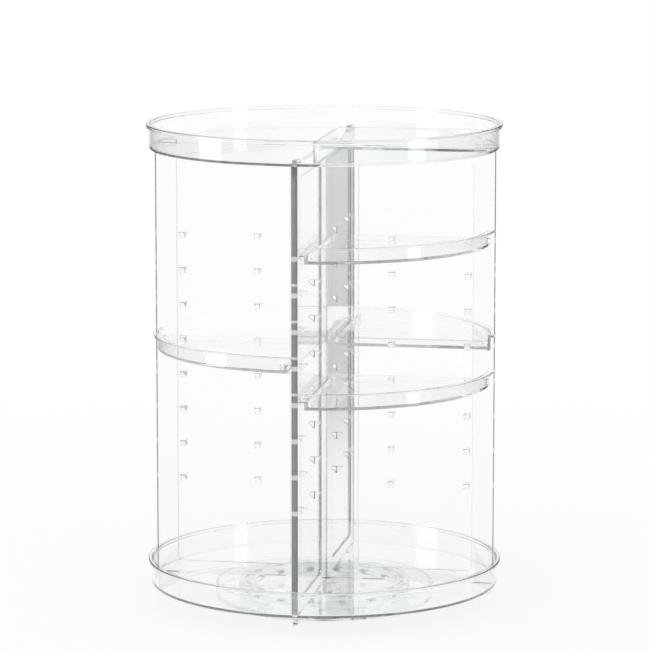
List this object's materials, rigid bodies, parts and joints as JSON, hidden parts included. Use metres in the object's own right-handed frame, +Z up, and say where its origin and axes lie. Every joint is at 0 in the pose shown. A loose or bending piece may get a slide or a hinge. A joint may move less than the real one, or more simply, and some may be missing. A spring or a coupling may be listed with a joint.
{
  "type": "rotating cosmetics organizer",
  "caption": "Clear round carousel on a low turntable: a bottom tray, upright dividers with nubs, hanging quarter trays and a top tray with a brush opening.",
  "frame": {"origin": "on the turning axis at the underside of the foot pads", "axes": "+Z up along the turning axis, dividers along +X, +Y, -X and -Y, the front of the object faces -Y"},
  "size_m": [0.2346, 0.2346, 0.32],
  "materials": {
    "clear_plastic": "clear moulded polystyrene, polished",
    "ball_plastic": "white acetal, smooth",
    "pivot_steel": "zinc-plated steel",
    "foot_rubber": "clear soft elastomer, satin"
  },
  "bodies": {
    "stand": {"turntable_base": "clear_plastic", "lower_race": "clear_plastic", "foot_pad_1": "foot_rubber", "foot_pad_2": "foot_rubber", "foot_pad_3": "foot_rubber", "foot_pad_4": "foot_rubber", "foot_pad_5": "foot_rubber", "foot_pad_6": "foot_rubber"},
    "carousel": {"bottom_tray": "clear_plastic", "upper_race": "clear_plastic", "pivot_washer": "pivot_steel", "pivot_screw": "pivot_steel", "top_tray": "clear_plastic", "divider_front": "clear_plastic", "divider_right": "clear_plastic", "divider_back": "clear_plastic", "divider_left": "clear_plastic"},
    "bearing": {"ball_cage": "clear_plastic", "bearing_balls": "ball_plastic"},
    "tray_front_right_upper_body": {"tray_front_right_upper": "clear_plastic"},
    "tray_front_right_lower_body": {"tray_front_right_lower": "clear_plastic"},
    "tray_front_left_body": {"tray_front_left": "clear_plastic"},
    "tray_back_right_body": {"tray_back_right": "clear_plastic"}
  },
  "joints": [
    {"name": "carousel_spin", "type": "hinge", "parent": "stand", "child": "carousel", "pos_m": [0, 0, 0.0132], "axis": [0, 0, 1], "continuous": true},
    {"name": "bearing_roll", "type": "hinge", "parent": "stand", "child": "bearing", "pos_m": [0, 0, 0.0084], "axis": [0, 0, 1], "continuous": true},
    {"name": "tray_front_right_upper_pull_out", "type": "slide", "parent": "carousel", "child": "tray_front_right_upper_body", "axis": [0.7071, -0.7071, 0], "range_m": [0, 0.125]},
    {"name": "tray_front_right_lower_pull_out", "type": "slide", "parent": "carousel", "child": "tray_front_right_lower_body", "axis": [0.7071, -0.7071, 0], "range_m": [0, 0.125]},
    {"name": "tray_front_left_pull_out", "type": "slide", "parent": "carousel", "child": "tray_front_left_body", "axis": [-0.7071, -0.7071, 0], "range_m": [0, 0.125]},
    {"name": "tray_back_right_pull_out", "type": "slide", "parent": "carousel", "child": "tray_back_right_body", "axis": [0.7071, 0.7071, 0], "range_m": [0, 0.125]}
  ],
  "couplings": [
    {"joint": "bearing_roll", "follows": "carousel_spin", "ratio": 0.5}
  ]
}
